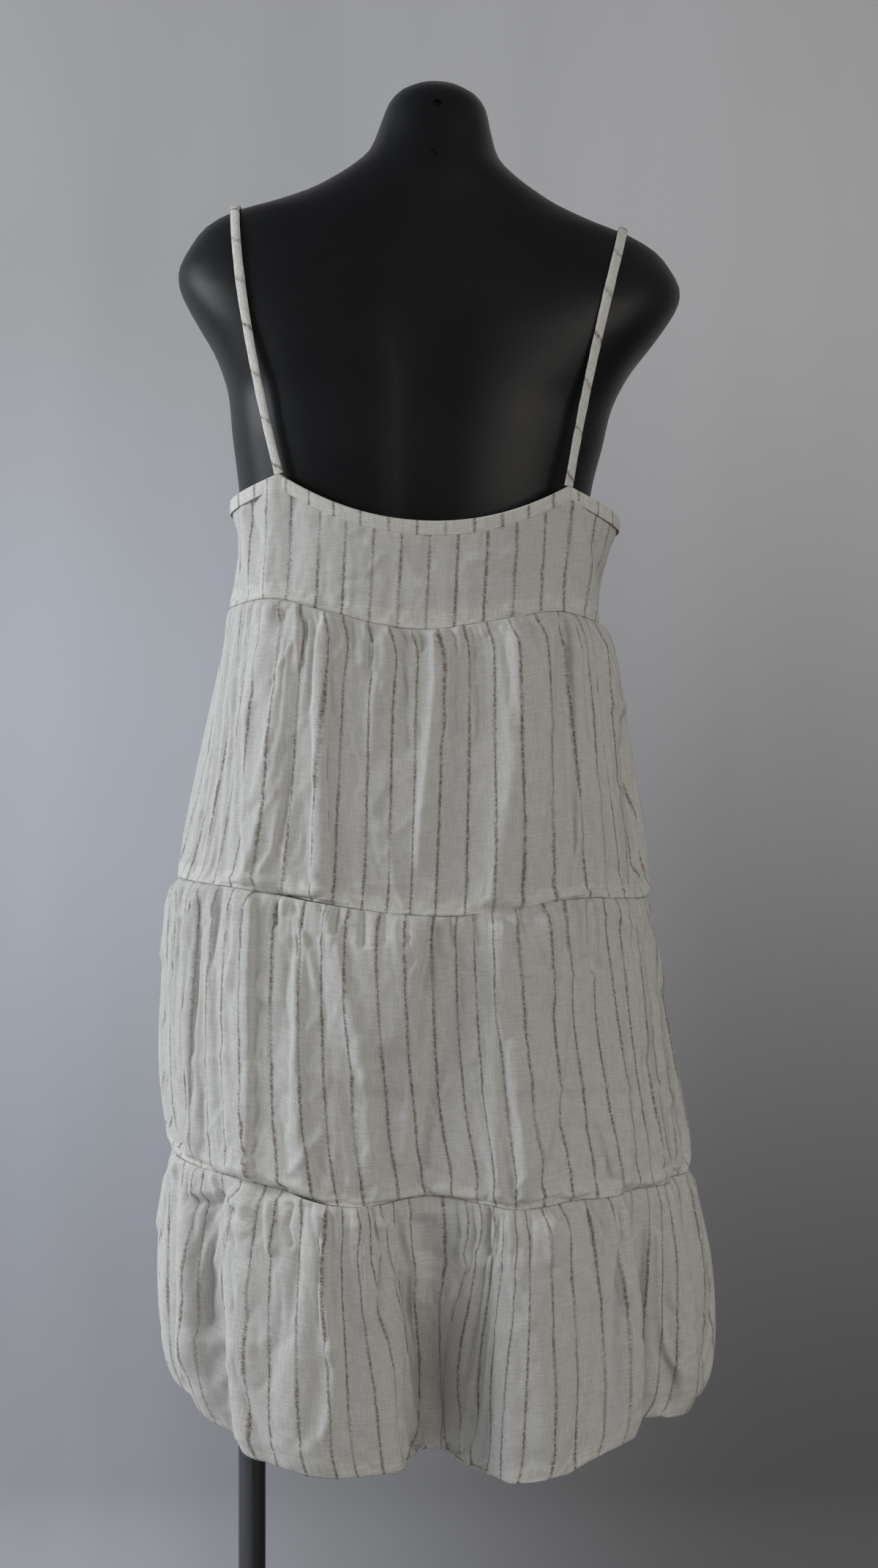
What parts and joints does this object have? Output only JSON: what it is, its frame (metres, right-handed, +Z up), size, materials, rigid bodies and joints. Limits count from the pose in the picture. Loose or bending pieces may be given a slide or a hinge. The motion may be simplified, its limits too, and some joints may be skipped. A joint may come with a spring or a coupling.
{
  "type": "sundress on dress form",
  "caption": "Knee-length sundress with thin shoulder straps, a plain bodice and gathered tiers in striped linen, worn on a black dress form with a pole and a round base.",
  "frame": {"origin": "middle of the base plate's underside, where the stand meets the floor", "axes": "+Z up; -Y towards the side of the dress's back, which the picture shows; +X to the right when the back is looked at"},
  "size_m": [0.4491, 0.38, 1.4985],
  "materials": {
    "striped_linen": "matte",
    "form_black": "satin",
    "pole_steel": "polished",
    "base_black": "satin"
  },
  "bodies": {
    "root": {"form_torso": "form_black", "pole": "pole_steel", "base_plate": "base_black", "bodice_back": "striped_linen", "bodice_front": "striped_linen", "binding_back": "striped_linen", "binding_right": "striped_linen", "binding_front": "striped_linen", "binding_left": "striped_linen", "tier_1_back": "striped_linen", "tier_1_front": "striped_linen", "tier_2_back": "striped_linen", "tier_2_front": "striped_linen", "tier_3_back": "striped_linen", "tier_3_front": "striped_linen", "strap_left": "striped_linen", "strap_right": "striped_linen"}
  },
  "joints": []
}
